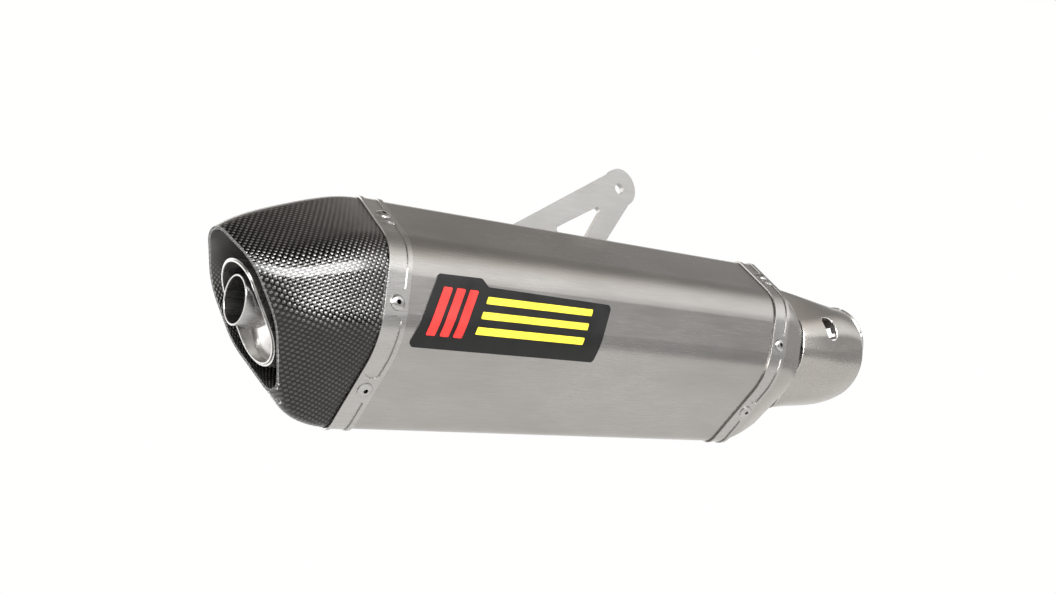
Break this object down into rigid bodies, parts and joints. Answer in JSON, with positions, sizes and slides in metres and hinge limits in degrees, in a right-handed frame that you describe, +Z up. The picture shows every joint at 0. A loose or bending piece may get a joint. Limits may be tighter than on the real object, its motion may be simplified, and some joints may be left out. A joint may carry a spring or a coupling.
{
  "type": "racing exhaust silencer",
  "caption": "six-sided motorcycle racing silencer with carbon end cap, removable noise damper, riveted straps, hanger bracket, pipe cover and clamped slip-on socket",
  "frame": {"origin": "centre of the inlet socket mouth, the mount inlet_socket", "axes": "+X runs forward along the silencer, out of the inlet; +Y is the side the hanger bracket stands on, towards the motorcycle; +Z is up; the socket climbs 12 degrees from +X"},
  "size_m": [0.5712, 0.1062, 0.2165],
  "materials": {
    "titanium_sleeve": "satin, brushed along the length",
    "strap_metal": "satin",
    "rivet_steel": "polished",
    "carbon": "woven fibre under clear lacquer",
    "outlet_steel": "polished",
    "plain_steel": "drawn tube, unpolished",
    "weld_metal": "as welded",
    "cover_metal": "satin",
    "bracket_metal": "satin",
    "fastener_steel": "bright",
    "badge_black": "gloss",
    "badge_red": "gloss",
    "badge_yellow": "gloss",
    "wool": "long-strand fibre mat"
  },
  "bodies": {
    "silencer": {"outer_sleeve": "titanium_sleeve", "rear_strap": "strap_metal", "front_strap": "strap_metal", "rear_strap_rivets": "rivet_steel", "front_strap_rivets": "rivet_steel", "end_cap": "carbon", "rear_end_plate": "plain_steel", "outlet_tube": "outlet_steel", "outlet_weld": "weld_metal", "screw_boss": "plain_steel", "inlet_cap": "titanium_sleeve", "inlet_pipe": "plain_steel", "inlet_weld": "weld_metal", "inlet_socket": "plain_steel", "socket_weld": "weld_metal", "clamp_band": "plain_steel", "clamp_washer": "fastener_steel", "clamp_nut": "fastener_steel", "pipe_cover": "cover_metal", "cover_tabs": "strap_metal", "perforated_core": "plain_steel", "packing_wool": "wool", "mounting_bracket": "bracket_metal", "bracket_rivets": "rivet_steel", "badge_plate": "badge_black", "badge_bars": "badge_red", "badge_stripes": "badge_yellow"},
    "damper": {"damper_collar": "outlet_steel", "damper_plate": "plain_steel", "damper_dish": "outlet_steel", "damper_tube": "plain_steel"},
    "damper_screw": {"damper_screw": "fastener_steel"},
    "clamp_bolt": {"clamp_bolt": "fastener_steel"}
  },
  "joints": [
    {"name": "damper_slide", "type": "slide", "parent": "silencer", "child": "damper", "axis": [-1, 0, 0], "range_m": [0, 0.085]},
    {"name": "damper_screw_turn", "type": "hinge", "parent": "silencer", "child": "damper_screw", "pos_m": [-0.534, 0, 0.006], "axis": [0, 0, 1], "continuous": true},
    {"name": "clamp_bolt_turn", "type": "hinge", "parent": "silencer", "child": "clamp_bolt", "pos_m": [-0.05331, -0.0316, -0.01133], "axis": [-0.2079, 0, 0.9781], "continuous": true}
  ]
}
